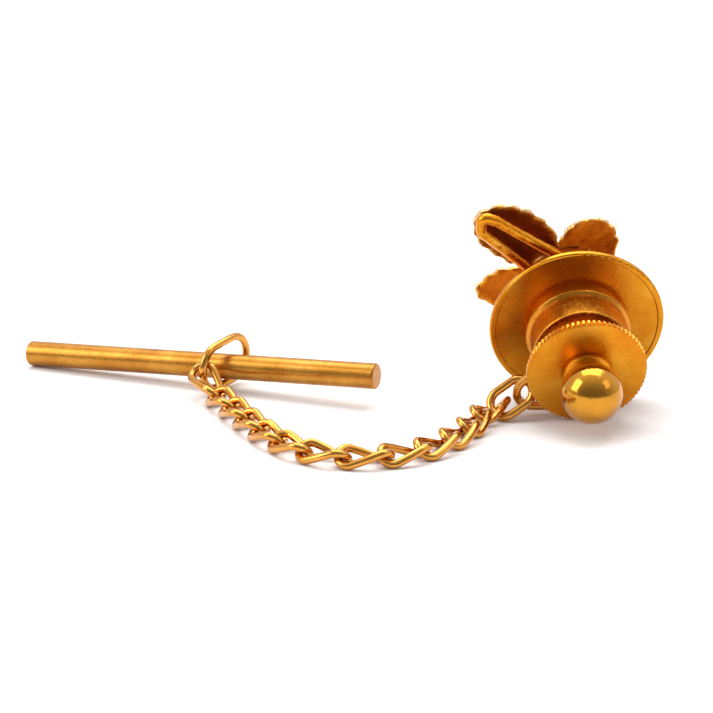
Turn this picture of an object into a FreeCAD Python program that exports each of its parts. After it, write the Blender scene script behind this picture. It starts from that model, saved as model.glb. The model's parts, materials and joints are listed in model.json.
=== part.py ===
import FreeCAD, Part
import math
import os

# Tie tack with a ball-lock clutch, a curb chain and a T-bar, lying on a table.
# Lengths are in mm and angles in degrees. +Z is up. The clutch, its ring and the
# tack are built about the clutch's own axis: local Z runs from the flange to the
# ball finial, X to the right and Y up, and the flange's middle plane is at Z = 0.
# The chain is then laid link by link from the swivel ring to the bar.

V = FreeCAD.Vector
os.makedirs("parts", exist_ok=True)

# ---------------------------------------------------------------- driving dimensions
# Clutch body
flange_radius = 5.5
flange_thickness = 0.4
flange_lip = 0.35          # width of the raised rim
flange_dish = 0.06         # depth of the faces inside the rim
barrel_radius = 3.08
barrel_wall = 0.26
barrel_length = 2.8        # from the flange's face to the barrel's end
bead_radius = 3.3
bead_start = 0.35          # from the flange's face
bead_length = 0.6
bead_crown = 0.4           # share of its length that is flat on top
bead_round = 0.12
# Ball lock
post_radius = 0.5
lock_ball_radius = 0.4
lock_ball_count = 3
lock_ball_height = 0.55    # above the flange's face
taper_slope = 0.5          # radius gained per unit of height
cage_wall = 0.33
cage_start = 0.1           # above the flange's face
cage_shoulder_radius = 1.9
cage_shoulder_thickness = 0.2
taper_length = 1.05
washer_thickness = 0.12
spring_wire = 0.2
spring_turns = 3
spring_inside_gap = 0.15
spring_outside_gap = 0.1
washer_outside_gap = 0.2
shank_radius = 1.3
# Knob
knob_radius = 3.7
knob_rim_thickness = 0.4
knob_back = 4.62           # height of the knob's back face
knob_dome = 0.12           # rise of its front face towards the collar
knurl_teeth = 72
knurl_depth = 0.14
knurl_flat = (0.3, 0.7)    # where a tooth's flat top starts and ends, as shares of the pitch
knob_edge = 0.05           # chamfer of the rim
knob_dome_margin = 0.2     # flat of the front face round the collar
spigot_radius = 1.0
collar_radius = 1.45
collar_thickness = 0.3
collar_margin = 0.15       # ledge of the collar round the ball
collar_round = 0.05
ball_radius = 1.89
ball_wall = 0.35
ball_height = 7.07         # height of the finial's centre
# Swivel ring round the shank
ring_wire = 0.5
ring_height = 3.9
ring_bend = 2.5            # radius of its round end
ring_bend_centre = (0.1, -0.85)
ring_tip = 1.1             # radius of its narrow end
ring_tip_centre = (-2.95, -2.3)
ring_hold_heading = 180.0  # where on the narrow end the chain hangs
# Tack
ornament_back = -2.3       # height of the ornament's back face
boss_radius = 3.0
boss_thickness = 1.0
boss_centre = (-0.4, 0.9)
boss_round = 0.25
pad_radius = 1.4
pad_thickness = 0.6
pad_taper = 0.24           # height over which it narrows to the post
post_tip_height = 5.9
post_point = 0.7
leaf_thickness = 0.35
leaf_depth = 0.65          # how far a leaf's hollow lies behind the back face
leaf_cup_radius = 8.0
leaf_scallop = 0.14
# name: centre x, centre y, heading, half length, half width, scallops
leaves = {
    "leaf_long": (-3.85, 4.9, 147, 3.1, 1.95, 15),
    "leaf_upper": (0.8, 4.0, 75, 2.2, 1.9, 13),
    "leaf_left": (-4.05, 0.95, 192, 2.15, 1.45, 11),
    "leaf_lower": (-0.8, -3.0, 262, 2.4, 1.8, 13),
    "leaf_right": (3.2, 0.6, 340, 2.2, 1.6, 11),
}
stem_wire = 0.6
stem_upper_end = (0.15, 3.05)
stem_upper_bend = (-5.15, 6.45)
stem_tip = (-6.15, 6.85)
stem_lower_bend = (-6.1, 5.75)
stem_lower_end = (-1.85, 2.0)
stem_wide_round = 0.558    # of the upper bend
stem_tight_round = 0.31    # of the tip and the lower bend
bead_dome_count = 3
bead_dome_radius = 0.85
bead_circle = 1.12
# Chain
end_link_wire = 0.52
end_link_half_length = 1.42
end_link_half_width = 0.9
end_link_heading = 7.1
end_link_roll = 48.4
end_link_play = 0.445      # free length between its wire and the swivel ring's
end_link_shift = -0.1      # sideways, off the swivel ring's point
end_link_foot_level = 0.61
curb_wire = 0.46
curb_half_length = 1.55    # of the wire's centre line
curb_half_width = 0.75
curb_twist = -45.0         # of each end bow about the link's length
corner_share = 0.45        # of a run that a free corner's arc may take
curb_play = 0.14           # free movement between two links pulled straight
first_link_advance = 0.218  # from the end link's foot to the first curb link's middle
first_link_heading = -125.1
first_link_roll = 9.0
link_headings = (-110, -118, -131, -152, -177, -206, -229, -241, -246, -247, -247)
last_link_heading = 121.8
last_link_rise = 26.1
last_link_roll = 2.3
last_link_reach = 2.066    # from its first joint to the oval ring's near bow
# T-bar and the oval ring round it
bar_length = 25.0
bar_radius = 0.83
bar_edge = 0.12
bar_heading = -22.0
bar_middle_offset = 1.9    # from the bar's middle to the ring, towards the raised end
bar_ring_wire = 0.5
bar_ring_slack_length = 1.17
bar_ring_slack_width = 0.34
bar_ring_heading = 54.4
bar_ring_roll = 92.4
bar_rest_gap = 0.18
ring_settling_steps = 20   # tries at the ring's rise before it stays the same
# Fits
running_clearance = 0.05
post_clearance = 0.12
seat_gap = 0.01
table_gap = 0.01
# Where the flange stands on the table, and which way the clutch points
flange_foot = (13.83, -10.65)
clutch_heading = -87.1

# ---------------------------------------------------------------- derived dimensions
flange_front = flange_thickness / 2
barrel_end = flange_front + barrel_length
barrel_inner = barrel_radius - barrel_wall
barrel_end_wall_back = barrel_end - barrel_wall
post_hole_radius = post_radius + post_clearance
cage_inner = post_radius + post_clearance
cage_outer = cage_inner + cage_wall
lock_ball_level = flange_front + lock_ball_height
lock_ball_orbit = post_radius + lock_ball_radius + seat_gap
taper_end = flange_front + taper_length
cage_shoulder_back = taper_end + running_clearance
cage_shoulder_front = cage_shoulder_back + cage_shoulder_thickness
washer_back = cage_shoulder_front + seat_gap
washer_front = washer_back + washer_thickness
knob_front = knob_back + knob_rim_thickness
collar_front = knob_front + knob_dome + collar_thickness
ball_seat_radius = math.sqrt(ball_radius ** 2 - (ball_height - collar_front) ** 2)
curb_pitch = 2 * curb_half_length - curb_wire - curb_play


def rad(angle):
    return math.radians(angle)


def heading_vector(heading, rise=0.0):
    flat = math.cos(rad(rise))
    return V(flat * math.cos(rad(heading)), flat * math.sin(rad(heading)), math.sin(rad(rise)))


# ---------------------------------------------------------------- shape helpers
def rounded_corner(before, corner, after, radius=None):
    """The arc that rounds a corner of a path, as three points on it.

    Without a radius, the arc takes corner_share of the shorter run on each side."""
    to_before = (before - corner).normalize()
    to_after = (after - corner).normalize()
    half_turn = (math.pi - to_before.getAngle(to_after)) / 2
    if radius is None:
        trim = corner_share * min((before - corner).Length, (after - corner).Length)
        radius = trim / math.tan(half_turn)
    else:
        trim = radius * math.tan(half_turn)
    inward = (to_before + to_after).normalize()
    middle = corner + inward * (radius / math.cos(half_turn) - radius)
    return corner + to_before * trim, middle, corner + to_after * trim


def closed_path(points):
    """Edges of a closed path of straight runs and tangent arcs through a ring of points."""
    count = len(points)
    corners = [rounded_corner(points[i - 1], points[i], points[(i + 1) % count]) for i in range(count)]
    edges = []
    for i, (start, middle, end) in enumerate(corners):
        edges.append(Part.Arc(start, middle, end).toShape())
        edges.append(Part.LineSegment(end, corners[(i + 1) % count][0]).toShape())
    return edges


def swept_wire(edges, radius):
    """A round wire along connected edges, with flat ends."""
    first = edges[0]
    start = first.valueAt(first.FirstParameter)
    section = Part.Circle(start, first.tangentAt(first.FirstParameter), radius).toShape()
    return Part.Wire(edges).makePipeShell([Part.Wire(section)], True, False)


def closed_loop(edges, radius):
    """A closed loop of round wire, made as two halves that meet face to face."""
    half = len(edges) // 2
    joined = swept_wire(edges[:half], radius).fuse(swept_wire(edges[half:], radius))
    return joined.Solids[0]


def oval_edges(half_length, half_width):
    """A flat oval of two half circles and two straight sides, about the origin along X."""
    run = half_length - half_width
    return [
        Part.Arc(V(run, -half_width, 0), V(half_length, 0, 0), V(run, half_width, 0)).toShape(),
        Part.LineSegment(V(run, half_width, 0), V(-run, half_width, 0)).toShape(),
        Part.Arc(V(-run, half_width, 0), V(-half_length, 0, 0), V(-run, -half_width, 0)).toShape(),
        Part.LineSegment(V(-run, -half_width, 0), V(run, -half_width, 0)).toShape(),
    ]


def turned(profile, rounds=None):
    """A solid turned about Z from (radius, height) corners; rounds gives some corners a radius."""
    rounds = rounds or {}
    points = [V(r, 0, z) for r, z in profile]
    count = len(points)
    edges = []
    last = None
    first = None
    for i, point in enumerate(points):
        if i in rounds:
            start, middle, end = rounded_corner(points[i - 1], point, points[(i + 1) % count], rounds[i])
            arc = Part.Arc(start, middle, end).toShape()
        else:
            start, end, arc = point, point, None
        if last is None:
            first = start
        else:
            edges.append(Part.LineSegment(last, start).toShape())
        if arc:
            edges.append(arc)
        last = end
    edges.append(Part.LineSegment(last, first).toShape())
    return Part.Face(Part.Wire(edges)).revolve(V(0, 0, 0), V(0, 0, 1), 360)


def tube(inner, outer, bottom, top):
    outside = Part.makeCylinder(outer, top - bottom, V(0, 0, bottom))
    return outside.cut(Part.makeCylinder(inner, top - bottom, V(0, 0, bottom)))


def one_solid(shape):
    return max(shape.Solids, key=lambda solid: solid.Volume)


def placed(shape, centre, turn):
    shape = shape.copy()
    shape.Placement = FreeCAD.Placement(centre, turn)
    return shape


def resting_level(shape, turn):
    """Height of a shape's own origin when, turned like this, it lies on the table."""
    return table_gap - placed(shape, V(0, 0, 0), turn).optimalBoundingBox(False).ZMin


# ---------------------------------------------------------------- clutch body
def flange():
    dish_edge = flange_radius - flange_lip
    lip_round = flange_thickness * 0.35
    profile = [
        (post_hole_radius, -flange_front + flange_dish),
        (dish_edge - flange_dish, -flange_front + flange_dish),
        (dish_edge, -flange_front),
        (flange_radius, -flange_front),
        (flange_radius, flange_front),
        (dish_edge, flange_front),
        (dish_edge - flange_dish, flange_front - flange_dish),
        (barrel_radius, flange_front - flange_dish),
        (barrel_radius, flange_front),
        (post_hole_radius, flange_front),
    ]
    return turned(profile, {3: lip_round, 4: lip_round})


def barrel():
    bead_low = flange_front + bead_start
    bead_middle = bead_low + bead_length / 2
    bead_high = bead_low + bead_length
    edge_round = barrel_wall * 0.4
    profile = [
        (barrel_inner, flange_front),
        (barrel_radius, flange_front),
        (barrel_radius, bead_low),
        (bead_radius, bead_middle - bead_length * bead_crown / 2),
        (bead_radius, bead_middle + bead_length * bead_crown / 2),
        (barrel_radius, bead_high),
        (barrel_radius, barrel_end),
        (shank_radius + running_clearance, barrel_end),
        (shank_radius + running_clearance, barrel_end_wall_back),
        (barrel_inner, barrel_end_wall_back),
    ]
    return turned(profile, {3: bead_round, 4: bead_round, 6: edge_round})


def taper_bush():
    """The hardened ring whose cone squeezes the lock balls onto the post."""
    slant = math.sqrt(1 + taper_slope ** 2)
    cone_at_balls = lock_ball_orbit + (lock_ball_radius + seat_gap) * slant
    cone_low = cone_at_balls - taper_slope * lock_ball_height
    cone_high = cone_low + taper_slope * taper_length
    outer = barrel_inner - seat_gap
    return turned([
        (cone_low, flange_front),
        (outer, flange_front),
        (outer, taper_end),
        (cone_high, taper_end),
    ])


# ---------------------------------------------------------------- knob and lock
def lock_ball_places():
    for i in range(lock_ball_count):
        turn = 2 * math.pi * i / lock_ball_count
        yield V(math.cos(turn), math.sin(turn), 0)


def ball_cage():
    """Sleeve with three windows for the lock balls, and the shoulder the spring pushes on."""
    body = turned([
        (cage_inner, flange_front + cage_start),
        (cage_outer, flange_front + cage_start),
        (cage_outer, cage_shoulder_back),
        (cage_shoulder_radius, cage_shoulder_back),
        (cage_shoulder_radius, cage_shoulder_front),
        (cage_inner, cage_shoulder_front),
    ])
    for outward in lock_ball_places():
        level = V(0, 0, lock_ball_level)
        window = Part.makeCylinder(lock_ball_radius + seat_gap, cage_outer * 2, level, outward)
        body = body.cut(window)
    return one_solid(body)


def lock_balls():
    balls = []
    for outward in lock_ball_places():
        centre = outward * lock_ball_orbit + V(0, 0, lock_ball_level)
        balls.append(Part.makeSphere(lock_ball_radius, centre))
    return Part.Compound(balls)


def plunger_shank():
    """The tube that ties the cage to the knob, through the barrel's end wall."""
    return turned([
        (cage_inner, cage_shoulder_front),
        (shank_radius, cage_shoulder_front),
        (shank_radius, knob_back),
        (spigot_radius, knob_back),
        (spigot_radius, knob_front + knob_dome),
        (cage_inner, knob_front + knob_dome),
    ])


def thrust_washer():
    outer = barrel_inner - washer_outside_gap
    return tube(shank_radius + running_clearance, outer, washer_back, washer_front)


def return_spring():
    """A conical spring, whose turns close inside one another."""
    wire_radius = spring_wire / 2
    low = washer_front + wire_radius + seat_gap
    high = barrel_end_wall_back - wire_radius - seat_gap
    narrow = shank_radius + wire_radius + spring_inside_gap
    wide = barrel_inner - wire_radius - spring_outside_gap
    height = high - low
    cone_angle = math.degrees(math.atan((wide - narrow) / height))
    helix = Part.makeHelix(height / spring_turns, height, narrow, cone_angle)
    helix.translate(V(0, 0, low))
    first = helix.Edges[0]
    start = first.valueAt(first.FirstParameter)
    section = Part.Circle(start, first.tangentAt(first.FirstParameter), wire_radius).toShape()
    return helix.makePipeShell([Part.Wire(section)], True, True)


def knurl_outline(height):
    """The toothed edge: flat-topped teeth with V grooves between them."""
    pitch = 2 * math.pi / knurl_teeth
    points = []
    for tooth in range(knurl_teeth):
        turn = tooth * pitch
        corners = [(0.0, knob_radius - knurl_depth)] + [(share, knob_radius) for share in knurl_flat]
        for share, radius in corners:
            angle = turn + share * pitch
            points.append(V(radius * math.cos(angle), radius * math.sin(angle), height))
    return Part.makePolygon(points + points[:1])


def knob_disc():
    toothed = Part.Face(knurl_outline(knob_back)).extrude(V(0, 0, knob_rim_thickness + knob_dome))
    face_radius = knob_radius - knurl_depth * 1.5
    bounds = turned([
        (spigot_radius + seat_gap, knob_back),
        (knob_radius - knob_edge, knob_back),
        (knob_radius, knob_back + knob_edge),
        (knob_radius, knob_front - knob_edge),
        (knob_radius - knob_edge, knob_front),
        (face_radius, knob_front),
        (collar_radius + knob_dome_margin, knob_front + knob_dome),
        (spigot_radius + seat_gap, knob_front + knob_dome),
    ])
    return one_solid(toothed.common(bounds))


def neck_collar():
    """The small moulded collar between the knob's face and the finial."""
    seat = knob_front + knob_dome
    profile = [
        (cage_inner, seat),
        (collar_radius, seat),
        (collar_radius, seat + collar_thickness * 0.4),
        (ball_seat_radius + collar_margin, collar_front),
        (cage_inner, collar_front),
    ]
    return turned(profile, {2: collar_round})


def ball_finial():
    """The hollow ball; the point of the post ends inside it."""
    centre = V(0, 0, ball_height)
    ball = Part.makeSphere(ball_radius, centre)
    hollow = Part.makeSphere(ball_radius - ball_wall, centre)
    below = Part.makeCylinder(ball_radius * 2, ball_radius * 2, V(0, 0, collar_front - ball_radius * 2))
    bore = Part.makeCylinder(cage_inner, ball_radius, V(0, 0, collar_front - ball_wall))
    return one_solid(ball.cut(hollow).cut(below).cut(bore))


# ---------------------------------------------------------------- swivel ring
def swivel_ring_tangents():
    """Directions, from either centre, of the points where the straight sides touch the bends."""
    tip = V(*ring_tip_centre, 0)
    bend = V(*ring_bend_centre, 0)
    axis = math.atan2(bend.y - tip.y, bend.x - tip.x)
    lean = math.asin((ring_bend - ring_tip) / (bend - tip).Length)
    return tip, bend, axis, lean


def swivel_ring():
    """A pear-shaped wire ring that hangs loose on the shank, between barrel and knob."""
    tip, bend, axis, lean = swivel_ring_tangents()
    up = V(0, 0, ring_height)

    def on(centre, radius, angle):
        return centre + V(radius * math.cos(angle), radius * math.sin(angle), 0) + up

    high = axis + math.pi / 2 + lean
    low = axis - math.pi / 2 - lean
    far = axis + math.pi
    edges = [
        Part.Arc(on(tip, ring_tip, high), on(tip, ring_tip, far), on(tip, ring_tip, low)).toShape(),
        Part.LineSegment(on(tip, ring_tip, low), on(bend, ring_bend, low)).toShape(),
        Part.Arc(on(bend, ring_bend, low), on(bend, ring_bend, axis), on(bend, ring_bend, high)).toShape(),
        Part.LineSegment(on(bend, ring_bend, high), on(tip, ring_tip, high)).toShape(),
    ]
    return closed_loop(edges, ring_wire / 2)


def swivel_ring_hold():
    """The point of the ring's narrow end that holds the chain."""
    return V(*ring_tip_centre, ring_height) + heading_vector(ring_hold_heading) * ring_tip


# ---------------------------------------------------------------- tack
def leaf(centre_x, centre_y, heading, half_length, half_width, scallops):
    """A cupped leaf, hollow towards the clutch, with a scalloped edge."""
    along = heading_vector(heading)
    across = heading_vector(heading + 90)
    centre = V(centre_x, centre_y, 0)

    def edge_point(turn, grow):
        return (centre + along * ((half_length + grow) * math.cos(turn))
                + across * ((half_width + grow) * math.sin(turn)))

    step = 2 * math.pi / scallops
    edges = []
    for i in range(scallops):
        ends = edge_point(i * step, -leaf_scallop), edge_point((i + 1) * step, -leaf_scallop)
        edges.append(Part.Arc(ends[0], edge_point((i + 0.5) * step, 0), ends[1]).toShape())
    bottom = ornament_back - 2 * boss_thickness
    outline = Part.Face(Part.Wire(edges))
    outline.translate(V(0, 0, bottom))
    prism = outline.extrude(V(0, 0, 3 * boss_thickness))
    cup_centre = centre + V(0, 0, ornament_back - leaf_depth + leaf_cup_radius)
    shell = Part.makeSphere(leaf_cup_radius + leaf_thickness, cup_centre)
    shell = shell.cut(Part.makeSphere(leaf_cup_radius, cup_centre))
    boss_space = Part.makeCylinder(boss_radius, 4 * boss_thickness, V(*boss_centre, bottom))
    return prism.common(shell).cut(boss_space)


def leaf_solids():
    """All the leaves; where two meet, the later one is cut back to the earlier one's edge."""
    made = {}
    for name, values in leaves.items():
        shape = leaf(*values)
        for other in made.values():
            shape = shape.cut(other)
        made[name] = one_solid(shape)
    return made


def centre_boss():
    bottom = ornament_back - boss_thickness
    boss = Part.makeCylinder(boss_radius, boss_thickness, V(*boss_centre, bottom))
    return boss.makeFillet(boss_round, [edge for edge in boss.Edges
                                  if edge.Curve.TypeId == "Part::GeomCircle"
                                  and abs(edge.Curve.Center.z - bottom) < 1e-6])


def centre_beads():
    """Small domes in a circle on the ornament's front."""
    face = ornament_back - boss_thickness
    domes = []
    for i in range(bead_dome_count):
        outward = heading_vector(90 + 360 * i / bead_dome_count)
        place = V(*boss_centre, face) + outward * bead_circle
        dome = Part.makeSphere(bead_dome_radius, place)
        above = Part.makeCylinder(bead_dome_radius * 2, bead_dome_radius * 2, place)
        domes.append(dome.cut(above).Solids[0])
    return Part.Compound(domes)


def stem_loop():
    """A hairpin of wire along the long leaf's hollow, soldered to the boss at both ends."""
    level = V(0, 0, ornament_back + stem_wire / 2)
    upper_end = V(*stem_upper_end, 0) + level
    lower_end = V(*stem_lower_end, 0) + level
    upper_bend = V(*stem_upper_bend, 0) + level
    lower_bend = V(*stem_lower_bend, 0) + level
    tip = V(*stem_tip, 0) + level
    high_start, high_middle, high_end = rounded_corner(upper_end, upper_bend, tip, stem_wide_round)
    tip_start, tip_middle, tip_end = rounded_corner(high_end, tip, lower_bend, stem_tight_round)
    low_start, low_middle, low_end = rounded_corner(tip_end, lower_bend, lower_end, stem_tight_round)
    edges = [
        Part.LineSegment(upper_end, high_start).toShape(),
        Part.Arc(high_start, high_middle, high_end).toShape(),
        Part.LineSegment(high_end, tip_start).toShape(),
        Part.Arc(tip_start, tip_middle, tip_end).toShape(),
        Part.LineSegment(tip_end, low_start).toShape(),
        Part.Arc(low_start, low_middle, low_end).toShape(),
        Part.LineSegment(low_end, lower_end).toShape(),
    ]
    return swept_wire(edges, stem_wire / 2)


def solder_pad():
    top = ornament_back + pad_thickness
    return turned([
        (0, ornament_back),
        (pad_radius, ornament_back),
        (pad_radius, top - pad_taper),
        (post_radius, top),
        (0, top),
    ])


def post():
    bottom = ornament_back + pad_thickness
    return turned([
        (0, bottom),
        (post_radius, bottom),
        (post_radius, post_tip_height - post_point),
        (0, post_tip_height),
    ])


# ---------------------------------------------------------------- chain and bar
def curb_link():
    """One twisted link about the origin, with its length along X."""
    straight = curb_half_length - curb_half_width
    facet = 22.5               # half of the angle between an eight-sided bow's corners
    corner_radius = curb_half_width / math.cos(rad(facet))
    flat = []
    for side in (1, -1):
        for turn in (-3 * facet, -facet, facet, 3 * facet):
            x = straight + corner_radius * math.cos(rad(turn))
            y = corner_radius * math.sin(rad(turn))
            flat.append((side * x, side * y))
        for share in (0.5, -0.5):
            flat.append((side * share * straight, side * curb_half_width))
    points = []
    for x, y in flat:
        turn = rad(curb_twist) * x / curb_half_length
        points.append(V(x, y * math.cos(turn), y * math.sin(turn)))
    return closed_loop(closed_path(points), curb_wire / 2)


def oval_ring(half_length, half_width, wire):
    return closed_loop(oval_edges(half_length, half_width), wire / 2)


def lying_along(direction, roll=0.0):
    """The turn that lays local X along a direction, with local Y level before the roll."""
    level = V(0, 0, 1).cross(direction).normalize()
    upward = direction.cross(level)
    return FreeCAD.Rotation(direction, level, upward, "XYZ").multiply(FreeCAD.Rotation(V(1, 0, 0), roll))


def t_bar():
    half = bar_length / 2
    return turned([
        (0, -half),
        (bar_radius, -half),
        (bar_radius, half),
        (0, half),
    ], {1: bar_edge, 2: bar_edge})


# ---------------------------------------------------------------- places
# The clutch leans until its flange and its knob both stand on the table.
clutch_lean = math.degrees(math.atan((flange_radius - knob_radius) / (knob_front - flange_front)))
clutch_axis = heading_vector(clutch_heading, -clutch_lean)
clutch_right = heading_vector(clutch_heading + 90)
clutch_up = clutch_axis.cross(clutch_right)
clutch_turn = FreeCAD.Rotation(clutch_right, clutch_up, clutch_axis, "XYZ")
clutch_centre_height = resting_level(flange(), clutch_turn)
clutch_place = FreeCAD.Placement(V(*flange_foot, clutch_centre_height), clutch_turn)

# The end link runs down from the swivel ring to the first curb link.
ring_hold_point = clutch_place.multVec(swivel_ring_hold())
end_link_hold = end_link_half_length - (end_link_wire + ring_wire) / 2 - end_link_play
end_link_rise = math.degrees(math.asin(
    (ring_hold_point.z - end_link_foot_level) / (end_link_hold + end_link_half_length)))
end_link_axis = heading_vector(end_link_heading, end_link_rise)
end_link_turn = lying_along(end_link_axis, end_link_roll)
end_link_across = end_link_turn.multVec(V(0, 1, 0))
end_link_centre = ring_hold_point - end_link_axis * end_link_hold + end_link_across * end_link_shift
end_link_foot = end_link_centre - end_link_axis * end_link_half_length

# Each curb link: its middle and its turn.
first_axis = heading_vector(first_link_heading)
first_turn = lying_along(first_axis, first_link_roll)
first_centre = V(end_link_foot.x, end_link_foot.y, resting_level(curb_link(), first_turn))
first_centre += first_axis * first_link_advance
link_centres = [first_centre]
link_turns = [first_turn]
chain_level = resting_level(curb_link(), lying_along(V(1, 0, 0)))
link_end = first_centre + first_axis * (curb_pitch / 2)
link_end.z = chain_level
for heading in link_headings:
    direction = heading_vector(heading)
    link_centres.append(link_end + direction * (curb_pitch / 2))
    link_turns.append(lying_along(direction))
    link_end = link_end + direction * curb_pitch

# The oval ring stands on the table round the bar, and the last link rises to it.
bar_ring_half_length = bar_radius + bar_ring_wire / 2 + bar_ring_slack_length
bar_ring_half_width = bar_radius + bar_ring_wire / 2 + bar_ring_slack_width
bar_ring_shape = oval_ring(bar_ring_half_length, bar_ring_half_width, bar_ring_wire)
last_axis = heading_vector(last_link_heading, last_link_rise)
link_centres.append(link_end + last_axis * (curb_pitch / 2))
link_turns.append(lying_along(last_axis, last_link_roll))
bar_ring_bow = link_end + last_axis * last_link_reach
bar_ring_rise = 0.0
for _ in range(ring_settling_steps):
    bar_ring_axis = heading_vector(bar_ring_heading, bar_ring_rise)
    bar_ring_turn = lying_along(bar_ring_axis, bar_ring_roll)
    rise_needed = resting_level(bar_ring_shape, bar_ring_turn) - bar_ring_bow.z
    bar_ring_rise = math.degrees(math.asin(rise_needed / bar_ring_half_length))
bar_ring_centre = bar_ring_bow + bar_ring_axis * bar_ring_half_length

# The bar lies through the ring: one end on the table, the other raised by the ring's wire.
bar_level_at_ring = table_gap + bar_ring_wire + bar_rest_gap + bar_radius
bar_low_reach = bar_length / 2 + bar_middle_offset
bar_rise = math.degrees(math.asin((bar_level_at_ring - bar_radius - table_gap) / bar_low_reach))
bar_axis = heading_vector(bar_heading, bar_rise)
bar_crossing = V(bar_ring_centre.x, bar_ring_centre.y, bar_level_at_ring)
bar_centre = bar_crossing - bar_axis * bar_middle_offset


# ---------------------------------------------------------------- assembly
clutch_parts = {
    "flange": flange(),
    "barrel": barrel(),
    "taper_bush": taper_bush(),
    "thrust_washer": thrust_washer(),
    "return_spring": return_spring(),
    "ball_cage": ball_cage(),
    "lock_balls": lock_balls(),
    "plunger_shank": plunger_shank(),
    "knob_disc": knob_disc(),
    "neck_collar": neck_collar(),
    "ball_finial": ball_finial(),
    "swivel_ring": swivel_ring(),
    "centre_boss": centre_boss(),
    "centre_beads": centre_beads(),
    "stem_loop": stem_loop(),
    "solder_pad": solder_pad(),
    "post": post(),
    **leaf_solids(),
}
nodes = {name: placed(shape, clutch_place.Base, clutch_turn) for name, shape in clutch_parts.items()}
nodes["end_link"] = placed(
    oval_ring(end_link_half_length, end_link_half_width, end_link_wire), end_link_centre, end_link_turn)
for number, (centre, turn) in enumerate(zip(link_centres, link_turns), start=1):
    nodes[f"curb_link_{number:02d}"] = placed(curb_link(), centre, turn)
nodes["bar_ring"] = placed(
    oval_ring(bar_ring_half_length, bar_ring_half_width, bar_ring_wire), bar_ring_centre, bar_ring_turn)
nodes["t_bar"] = placed(t_bar(), bar_centre, FreeCAD.Rotation(V(0, 0, 1), bar_axis))

# The origin is the middle of the whole object's footprint, on the table.
box = FreeCAD.BoundBox()
for shape in nodes.values():
    box.add(shape.optimalBoundingBox(False))
home = V(-box.Center.x, -box.Center.y, -box.ZMin)

for name, shape in nodes.items():
    shape.translate(home)
    shape.exportStep(f"parts/{name}.step")
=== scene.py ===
import json
import math
import bpy
import numpy as np
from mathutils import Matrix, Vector


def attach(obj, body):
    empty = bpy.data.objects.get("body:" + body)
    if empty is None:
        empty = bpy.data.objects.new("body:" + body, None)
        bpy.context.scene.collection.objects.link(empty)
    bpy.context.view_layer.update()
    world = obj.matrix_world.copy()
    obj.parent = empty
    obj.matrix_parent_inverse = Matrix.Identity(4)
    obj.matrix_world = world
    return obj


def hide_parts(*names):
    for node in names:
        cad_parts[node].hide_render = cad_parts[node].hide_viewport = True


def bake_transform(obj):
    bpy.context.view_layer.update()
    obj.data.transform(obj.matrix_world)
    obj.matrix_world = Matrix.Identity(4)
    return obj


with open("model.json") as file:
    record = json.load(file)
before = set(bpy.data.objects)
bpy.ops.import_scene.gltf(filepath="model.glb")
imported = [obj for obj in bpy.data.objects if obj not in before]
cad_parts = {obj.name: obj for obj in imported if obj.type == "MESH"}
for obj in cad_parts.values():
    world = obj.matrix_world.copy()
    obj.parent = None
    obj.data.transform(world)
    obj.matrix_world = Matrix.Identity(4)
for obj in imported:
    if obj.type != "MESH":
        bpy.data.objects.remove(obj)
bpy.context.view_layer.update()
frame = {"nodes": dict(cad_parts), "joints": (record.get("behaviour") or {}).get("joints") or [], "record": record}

MM = 0.001
BODY_OF = {node: body for body, members in frame["record"]["behaviour"]["bodies"].items() for node in members}
JOINTS = {joint["name"]: joint for joint in frame["joints"]}
CLUTCH_AXIS = Vector(JOINTS["knob_spin"]["axis"]).normalized()
CLUTCH_CENTRE = Vector(JOINTS["knob_spin"]["pos_m"])
# Turns the clutch's own axis onto Z, so that a pattern can run round it.
CLUTCH_TURN = CLUTCH_AXIS.rotation_difference(Vector((0, 0, 1)))


# ---------------------------------------------------------------- shader maths
class Signal:
    """A number that varies over a surface; its operators add Math nodes."""

    def __init__(self, finish, socket):
        self.finish = finish
        self.socket = socket

    def _with(self, operation, first, second):
        node = self.finish.tree.nodes.new("ShaderNodeMath")
        node.operation = operation
        for place, value in enumerate((first, second)):
            self.finish.feed(node.inputs[place], value)
        return Signal(self.finish, node.outputs[0])

    def __add__(self, other):
        return self._with("ADD", self, other)

    def __radd__(self, other):
        return self._with("ADD", other, self)

    def __sub__(self, other):
        return self._with("SUBTRACT", self, other)

    def __rsub__(self, other):
        return self._with("SUBTRACT", other, self)

    def __mul__(self, other):
        return self._with("MULTIPLY", self, other)

    def __rmul__(self, other):
        return self._with("MULTIPLY", other, self)


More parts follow.
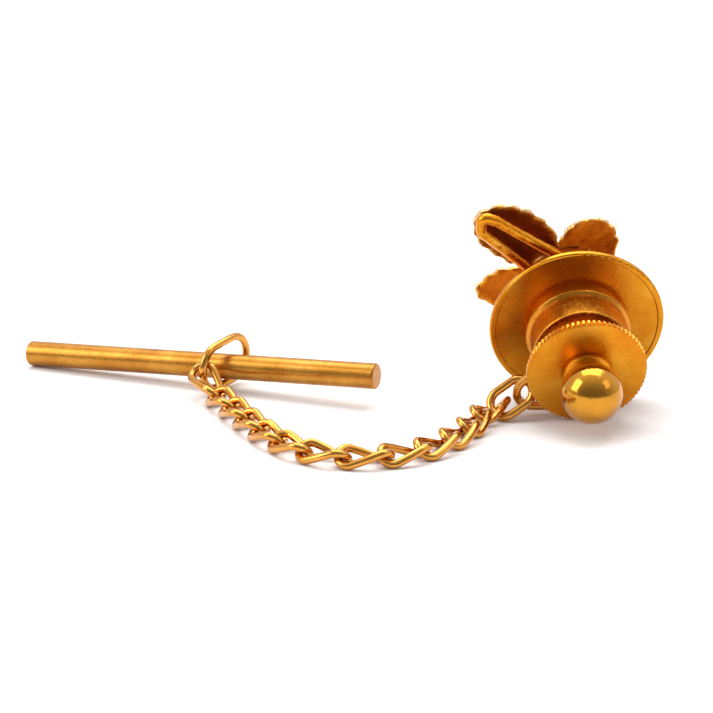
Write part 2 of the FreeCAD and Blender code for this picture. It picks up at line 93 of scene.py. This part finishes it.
class Finish:
    """A material and its node tree."""

    def __init__(self, name):
        self.material = bpy.data.materials.new(name)
        self.material.use_nodes = True
        self.tree = self.material.node_tree
        self.shader = self.tree.nodes["Principled BSDF"]

    def feed(self, socket, value):
        if isinstance(value, Signal):
            self.tree.links.new(value.socket, socket)
        else:
            socket.default_value = value

    def node(self, kind, settings=None, inputs=None, output=0):
        """Adds a node: its settings first, then its sockets' values or links."""
        node = self.tree.nodes.new("ShaderNode" + kind)
        for name, value in (settings or {}).items():
            if name == "stops":
                ramp = node.color_ramp
                for i, (position, colour) in enumerate(value):
                    stop = ramp.elements[i] if i < 2 else ramp.elements.new(position)
                    stop.position = position
                    stop.color = colour
            else:
                setattr(node, name, value)
        for name, value in (inputs or {}).items():
            self.feed(node.inputs[name], value)
        return Signal(self, node.outputs[output])

    def place(self, about_clutch=False):
        """Object coordinates in millimetres, about the clutch's axis if asked."""
        coordinates = self.node("TexCoord", output=3)
        turn = CLUTCH_TURN.to_euler() if about_clutch else (0, 0, 0)
        centre = (CLUTCH_TURN @ CLUTCH_CENTRE) / MM if about_clutch else Vector((0, 0, 0))
        return self.node("Mapping", {"vector_type": "POINT"}, {
            "Vector": coordinates,
            "Location": -centre,
            "Rotation": turn,
            "Scale": (1 / MM, 1 / MM, 1 / MM),
        })

    def noise(self, where, scale, detail=4.0, roughness=0.55):
        return self.node("TexNoise", None, {
            "Vector": where, "Scale": scale, "Detail": detail, "Roughness": roughness,
        })

    def ramp(self, value, *stops):
        return self.node("ValToRGB", {"stops": stops}, {"Fac": value})

    def spread(self, value, low, high, to_low=0.0, to_high=1.0):
        return self.node("MapRange", {"clamp": True}, {
            "Value": value, "From Min": low, "From Max": high, "To Min": to_low, "To Max": to_high,
        })

    def blend(self, factor, first, second):
        node = self.tree.nodes.new("ShaderNodeMix")
        node.data_type = "RGBA"
        self.feed(node.inputs["Factor"], factor)
        self.feed(node.inputs[6], first)
        self.feed(node.inputs[7], second)
        return Signal(self, node.outputs[2])

    def bump(self, height, distance, strength=0.5):
        return self.node("Bump", None, {"Height": height, "Distance": distance * MM, "Strength": strength})

    def set(self, **values):
        for name, value in values.items():
            self.feed(self.shader.inputs[name.replace("_", " ")], value)
        return self.material


# ---------------------------------------------------------------- gold and steel
DEEP_GOLD = (0.60, 0.185, 0.007, 1)
WARM_GOLD = (0.64, 0.250, 0.012, 1)
PALE_GOLD = (0.75, 0.350, 0.036, 1)
RED_GOLD = (0.30, 0.055, 0.004, 1)
WORN_EDGE = (0.66, 0.52, 0.33, 1)
# painted shade: the dark red laid on the long leaf's hollow side
PAINTED_SHADE_RED = (0.20, 0.006, 0.002, 1)
CAST_PALE = (0.86, 0.44, 0.07, 1)
BAR_DEEP = (0.42, 0.165, 0.018, 1)
BAR_WARM = (0.52, 0.235, 0.034, 1)
BAR_PALE = (0.68, 0.34, 0.06, 1)
BARREL_TINT = (0.62, 0.235, 0.018, 1)
BALL_TINT = (0.58, 0.255, 0.022, 1)
CHAIN_TINT = (0.66, 0.300, 0.052, 1)
STEEL_DARK = (0.38, 0.38, 0.40, 1)
STEEL_PALE = (0.58, 0.58, 0.60, 1)
BAR_LINES_TURN = math.radians(22.0)  # turns the bar's drawn lines along it


def satin_gold():
    """Tumbled plate: cloudy amber with fine pits, lathe lines and rubbed paler patches."""
    gold = Finish("gold_satin")
    where = gold.place(about_clutch=True)
    cloud = gold.noise(where, 0.55, 5.0)
    pits = gold.noise(where, 9.0, 3.0, 0.7)
    grain = gold.noise(where, 26.0, 2.0)
    rings = gold.node("TexWave", {"wave_type": "RINGS", "rings_direction": "Z", "wave_profile": "SIN"}, {
        "Vector": where, "Scale": 4.2, "Distortion": 1.6, "Detail": 2.0, "Detail Scale": 0.6,
    }, output=1)
    colour = gold.ramp(cloud, (0.30, DEEP_GOLD), (0.52, WARM_GOLD), (0.78, PALE_GOLD))
    stained = gold.spread(pits, 0.30, 0.42, 0.55, 0.0)
    colour = gold.blend(stained, colour, RED_GOLD)
    height = pits * 0.6 + grain * 0.25 + rings * 0.22
    return gold.set(
        Base_Color=colour, Metallic=1.0,
        Roughness=gold.spread(cloud, 0.3, 0.7, 0.27, 0.17) + pits * 0.05,
        Coat_Weight=0.05, Coat_Roughness=0.2,
        Normal=gold.bump(height, 0.016, 0.5),
    )


def bar_gold():
    """The bar's plate: drawn lines along its length, small pits and a warm, even colour."""
    gold = Finish("gold_bar")
    where = gold.node("Mapping", None, {
        "Vector": gold.place(), "Rotation": (0, 0, BAR_LINES_TURN), "Scale": (0.14, 1.0, 1.0),
    })
    drawn = gold.noise(where, 7.0, 4.0, 0.6)
    specks = gold.noise(gold.place(), 6.5, 3.0, 0.65)
    cloud = gold.noise(gold.place(), 0.5, 4.0)
    colour = gold.ramp(cloud, (0.32, BAR_DEEP), (0.55, BAR_WARM), (0.80, BAR_PALE))
    colour = gold.blend(gold.spread(specks, 0.30, 0.40, 0.65, 0.0), colour, RED_GOLD)
    return gold.set(
        Base_Color=colour, Metallic=1.0,
        Roughness=gold.spread(drawn, 0.3, 0.7, 0.24, 0.38),
        Coat_Weight=0.12, Coat_Roughness=0.15,
        Normal=gold.bump(drawn * 0.4 + specks * 0.6, 0.02, 0.5),
    )


def polished_gold(name, tint, roughness, dent):
    """Bright plate with faint handling marks."""
    gold = Finish(name)
    where = gold.place()
    cloud = gold.noise(where, 0.9, 3.0)
    marks = gold.noise(where, 4.0, 4.0, 0.6)
    smears = gold.spread(marks, 0.50, 0.72, 0.0, 0.14)
    deeper = tuple(channel * 0.86 for channel in tint[:3]) + (1,)
    return gold.set(
        Base_Color=gold.blend(gold.spread(cloud, 0.35, 0.65), deeper, tint), Metallic=1.0,
        Roughness=smears + roughness,
        Coat_Weight=0.18, Coat_Roughness=0.06,
        Normal=gold.bump(cloud * 0.7 + marks * 0.3, dent, 0.5),
    )


def cast_gold():
    """Cast pieces: amber, darker in the grain, painted shade in dark red on the long leaf's hollow side, and pale
    on its worn rim.
    """
    gold = Finish("gold_cast")
    where = gold.place()
    lumps = gold.noise(where, 2.1, 5.0, 0.62)
    grain = gold.noise(where, 9.0, 4.0, 0.7)
    rim = gold.node("Attribute", {"attribute_name": "rim"}, output=2)
    painted_shade = gold.node("Attribute", {"attribute_name": "painted_shade"}, output=2)
    colour = gold.ramp(lumps, (0.28, WARM_GOLD), (0.50, PALE_GOLD), (0.74, CAST_PALE))
    stained = gold.spread(grain, 0.26, 0.38, 0.5, 0.0)
    colour = gold.blend(stained, colour, RED_GOLD)
    # painted shade: the long leaf's hollow side turned dark red
    colour = gold.blend(painted_shade, colour, PAINTED_SHADE_RED)
    rubbed = gold.spread(rim + lumps * 0.5, 0.95, 1.25, 0.0, 0.9)
    colour = gold.blend(rubbed, colour, WORN_EDGE)
    return gold.set(
        Base_Color=colour, Metallic=1.0,
        Roughness=gold.spread(grain, 0.3, 0.7, 0.34, 0.50),
        Coat_Weight=0.10, Coat_Roughness=0.2,
        Normal=gold.bump(lumps * 0.6 + grain * 0.4, 0.02, 0.35),
    )


def ground_steel():
    """The lock's hidden steel: grey, ground and faintly scratched."""
    steel = Finish("steel_ground")
    where = steel.place(about_clutch=True)
    scratches = steel.noise(where, 8.0, 4.0, 0.6)
    colour = steel.ramp(scratches, (0.3, STEEL_DARK), (0.7, STEEL_PALE))
    return steel.set(
        Base_Color=colour, Metallic=1.0, Roughness=steel.spread(scratches, 0.3, 0.7, 0.22, 0.40),
        Normal=steel.bump(scratches, 0.01, 0.4),
    )


FINISHES = {
    "satin": satin_gold(),
    "bar": bar_gold(),
    "bright": polished_gold("gold_bright", BARREL_TINT, 0.27, 0.03),
    "ball": polished_gold("gold_ball", BALL_TINT, 0.11, 0.05),
    "chain": polished_gold("gold_chain", CHAIN_TINT, 0.13, 0.03),
    "cast": cast_gold(),
    "steel": ground_steel(),
}
FINISH_OF = {
    "flange": "satin", "knob_disc": "satin", "barrel": "bright", "ball_finial": "ball",
    "neck_collar": "satin",
    "plunger_shank": "bright", "ball_cage": "bright", "swivel_ring": "chain", "end_link": "chain",
    "bar_ring": "chain", "t_bar": "bar", "centre_boss": "cast", "centre_beads": "ball", "stem_loop": "satin",
    "solder_pad": "cast", "post": "bright", "taper_bush": "steel", "thrust_washer": "steel",
    "return_spring": "steel", "lock_balls": "steel",
}


def finish_of(node):
    if node.startswith("leaf"):
        return FINISHES["cast"]
    if node.startswith("curb_link"):
        return FINISHES["chain"]
    return FINISHES[FINISH_OF[node]]


def paint(piece, material):
    piece.data.materials.clear()
    piece.data.materials.append(material)


for name, node in frame["nodes"].items():
    paint(node, finish_of(name))


# ---------------------------------------------------------------- finer pieces
def deselect():
    bpy.ops.object.select_all(action="DESELECT")


def select(piece):
    deselect()
    piece.select_set(True)
    bpy.context.view_layer.objects.active = piece


def modify(piece, kind, **settings):
    """Adds a modifier, gives it its settings and applies it."""
    select(piece)
    modifier = piece.modifiers.new(kind.lower(), kind)
    for name, value in settings.items():
        setattr(modifier, name, value)
    bpy.ops.object.modifier_apply(modifier=modifier.name)


def copy_of(node, name):
    """A separate, merged copy of a CAD node, to be worked into a finished piece."""
    source = frame["nodes"][node]
    deselect()
    piece = source.copy()
    piece.data = source.data.copy()
    piece.name = name
    piece.parent = None
    for key in list(piece.keys()):
        del piece[key]
    bpy.context.scene.collection.objects.link(piece)
    select(piece)
    bpy.ops.object.mode_set(mode="EDIT")
    bpy.ops.mesh.select_all(action="SELECT")
    bpy.ops.mesh.remove_doubles(threshold=0.001 * MM)
    bpy.ops.mesh.normals_make_consistent(inside=False)
    bpy.ops.object.mode_set(mode="OBJECT")
    return piece


def stand_in_for(piece, node):
    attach(piece, BODY_OF[node])
    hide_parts(node)


RIM_SECTORS = 48
RIM_START = 0.80   # share of the way out where the rim begins
FACE_ROUGHNESS = 0.15   # of the rim's lumps, on the middle of a leaf


def mark_rim_and_shade(piece, painted_shade):
    """Stores how near the outline each point is, and a painted shade on the side that faces the clutch."""
    points = np.array([CLUTCH_TURN @ vertex.co for vertex in piece.data.vertices])[:, :2]
    offset = points - points.mean(0)
    reach = np.hypot(offset[:, 0], offset[:, 1])
    turn = (np.arctan2(offset[:, 1], offset[:, 0]) + math.pi) / (2 * math.pi)
    sectors = (turn * RIM_SECTORS).astype(int) % RIM_SECTORS
    outline = np.array([
        reach[sectors == i].max() if (sectors == i).any() else reach.max() for i in range(RIM_SECTORS)
    ])
    rim = np.clip((reach / outline[sectors] - RIM_START) / (1 - RIM_START), 0, 1)
    facing = np.array([(CLUTCH_TURN @ vertex.normal).z for vertex in piece.data.vertices])
    # painted shade: strongest on faces turned along the clutch's axis, fading out towards the rim
    shaded_hollow = np.clip(facing * 2.0, 0, 1) * (1 - rim)
    for name, values in (("rim", rim), ("painted_shade", painted_shade * shaded_hollow)):
        attribute = piece.data.attributes.new(name, "FLOAT", "POINT")
        attribute.data.foreach_set("value", values.astype(np.float32))
    group = piece.vertex_groups.new(name="rough")
    for index, near in enumerate(rim):
        group.add([index], FACE_ROUGHNESS + (1 - FACE_ROUGHNESS) * float(near), "REPLACE")


def lumps(name, size, depth):
    texture = bpy.data.textures.new(name, "CLOUDS")
    texture.noise_scale = size * MM
    texture.noise_depth = depth
    return texture


CAST_LUMPS = lumps("cast_lumps", 0.75, 2)
CAST_GRAIN = lumps("cast_grain", 0.28, 1)


LEAVES = [name for name in frame["nodes"] if name.startswith("leaf")]
# how deep the painted shade on the long leaf's hollow side is
PAINTED_SHADE_AMOUNT = 0.85
# Sizes in mm: the remesh's voxel, the depth of coarse and fine lumps, and how much fuller it is made.
LEAF_CASTING = {"voxel": 0.075, "coarse": 0.42, "fine": 0.10}
OTHER_CASTINGS = {
    "stem_loop": {"voxel": 0.06, "coarse": 0.08, "fine": 0.02, "swell": 0.07},
    "solder_pad": {"voxel": 0.08, "coarse": 0.16, "fine": 0.04},
    "centre_boss": {"voxel": 0.09, "coarse": 0.16, "fine": 0.04},
}


def cast_piece(node, voxel, coarse, fine, swell=0.0):
    """A CAD solid worked into a rough casting: remeshed, lumpy at two scales, and smoothed."""
    piece = copy_of(node, node + "_cast")
    modify(piece, "REMESH", mode="VOXEL", voxel_size=voxel * MM)
    modify(piece, "SMOOTH", factor=0.5, iterations=3)
    rough = {}
    if node in LEAVES:
        mark_rim_and_shade(piece, PAINTED_SHADE_AMOUNT if node == "leaf_long" else 0.0)
        rough = {"vertex_group": "rough"}
    if swell:
        modify(piece, "DISPLACE", strength=swell * MM, mid_level=0.0)
    for texture, depth in ((CAST_LUMPS, coarse), (CAST_GRAIN, fine)):
        modify(piece, "DISPLACE", texture=texture, texture_coords="LOCAL", strength=depth * MM,
               mid_level=0.5, **rough)
    modify(piece, "SMOOTH", factor=0.5, iterations=2)
    piece.data.polygons.foreach_set("use_smooth", [True] * len(piece.data.polygons))
    paint(piece, finish_of(node))
    stand_in_for(piece, node)


for leaf in LEAVES:
    cast_piece(leaf, **LEAF_CASTING)
for name, sizes in OTHER_CASTINGS.items():
    cast_piece(name, **sizes)

WIRE_WAVER = lumps("wire_waver", 1.1, 0)
WAVER_DEPTH = 0.02
CURB_SWELL = 0.022
TIGHT_LINKS = ("curb_link_01", "curb_link_02")   # with no room to be fuller
TIGHT_SWELL = 0.002
RING_SWELL = 0.010


def rounded_wire(node, swell):
    """A link or ring of hand-closed wire: a little fuller than drawn, and not quite even."""
    piece = copy_of(node, node + "_wire")
    modify(piece, "DISPLACE", strength=swell * MM, mid_level=0.0)
    modify(piece, "DISPLACE", texture=WIRE_WAVER, texture_coords="LOCAL", strength=WAVER_DEPTH * MM,
           mid_level=0.5)
    piece.data.polygons.foreach_set("use_smooth", [True] * len(piece.data.polygons))
    paint(piece, FINISHES["chain"])
    stand_in_for(piece, node)


for wire in [name for name in frame["nodes"] if name.startswith("curb_link")]:
    rounded_wire(wire, swell=TIGHT_SWELL if wire in TIGHT_LINKS else CURB_SWELL)
for wire in ("swivel_ring", "end_link", "bar_ring"):
    rounded_wire(wire, swell=RING_SWELL)


def squeezed_spring():
    """The return spring: still at the barrel's end wall."""
    piece = copy_of("return_spring", "return_spring_coil")
    piece.data.polygons.foreach_set("use_smooth", [True] * len(piece.data.polygons))
    paint(piece, FINISHES["steel"])
    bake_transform(piece)
    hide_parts("return_spring")


squeezed_spring()

SMOOTH_ANGLE = math.radians(32)
for name, node in frame["nodes"].items():
    select(node)
    bpy.ops.object.shade_smooth_by_angle(angle=SMOOTH_ANGLE)


# ---------------------------------------------------------------- floor, light and camera
def studio_floor():
    deselect()
    bpy.ops.mesh.primitive_plane_add(size=3.0, location=(0, 0, 0))
    floor = bpy.context.object
    floor.name = "floor"
    paper = Finish("white_paper")
    tooth = paper.noise(paper.place(), 1.2, 4.0)
    paint(floor, paper.set(
        Base_Color=paper.ramp(tooth, (0.3, (0.90, 0.89, 0.90, 1)), (0.7, (0.93, 0.925, 0.93, 1))),
        Roughness=paper.spread(tooth, 0.3, 0.7, 0.75, 0.9),
        Normal=paper.bump(tooth, 0.02, 0.2),
    ))


def softbox(name, place, aim, size, power, colour=(1, 1, 1)):
    deselect()
    bpy.ops.object.light_add(type="AREA", location=place)
    lamp = bpy.context.object
    lamp.name = name
    lamp.data.shape = "RECTANGLE"
    lamp.data.size, lamp.data.size_y = size
    lamp.data.energy = power
    lamp.data.color = colour
    lamp.rotation_euler = (Vector(aim) - Vector(place)).to_track_quat("-Z", "Y").to_euler()


ROOM_FRONT = 0.30
ROOM_BACK = 0.98
ROOM_TOP = 0.25


def studio_world():
    """A white room: bright overhead and behind, dimmer at the front where nobody lights it."""
    world = bpy.data.worlds.new("white_room")
    bpy.context.scene.world = world
    world.use_nodes = True
    tree = world.node_tree
    background = tree.nodes["Background"]
    direction = tree.nodes.new("ShaderNodeTexCoord").outputs["Generated"]
    axes = tree.nodes.new("ShaderNodeSeparateXYZ")
    tree.links.new(direction, axes.inputs[0])
    backward = tree.nodes.new("ShaderNodeMapRange")
    tree.links.new(axes.outputs["Y"], backward.inputs["Value"])
    for name, value in {"From Min": -0.75, "From Max": 0.1, "To Min": ROOM_FRONT, "To Max": ROOM_BACK}.items():
        backward.inputs[name].default_value = value
    upward = tree.nodes.new("ShaderNodeMapRange")
    tree.links.new(axes.outputs["Z"], upward.inputs["Value"])
    for name, value in {"From Min": 0.35, "From Max": 0.95, "To Min": 0.0, "To Max": ROOM_TOP}.items():
        upward.inputs[name].default_value = value
    total = tree.nodes.new("ShaderNodeMath")
    tree.links.new(backward.outputs["Result"], total.inputs[0])
    tree.links.new(upward.outputs["Result"], total.inputs[1])
    tree.links.new(total.outputs[0], background.inputs["Strength"])
    background.inputs["Color"].default_value = (1.0, 0.985, 0.97, 1)


VIEW_ELEVATION = 16.22
VIEW_DISTANCE = 147.18 * MM
VIEW_LENS = 108.8
VIEW_AIM = Vector((1.409, 12.571, 0.011)) * MM


def studio_camera():
    deselect()
    back = Vector((0, -math.cos(math.radians(VIEW_ELEVATION)), math.sin(math.radians(VIEW_ELEVATION))))
    bpy.ops.object.camera_add(location=VIEW_AIM + back * VIEW_DISTANCE)
    camera = bpy.context.object
    camera.rotation_euler = (math.radians(90 - VIEW_ELEVATION), 0, 0)
    camera.data.lens = VIEW_LENS
    camera.data.sensor_width = 36.0
    camera.data.clip_start = 0.01
    bpy.context.scene.camera = camera


studio_floor()
studio_world()
studio_camera()
softbox("top_softbox", (0.02, 0.10, 0.30), (0, 0, 0), (0.30, 0.22), 0.72)
softbox("left_softbox", (-0.26, -0.06, 0.17), (0, 0, 0), (0.16, 0.22), 0.42)
softbox("right_softbox", (0.26, -0.10, 0.20), (0.01, 0, 0.005), (0.12, 0.16), 0.06)
bpy.context.scene.view_settings.view_transform = "Standard"
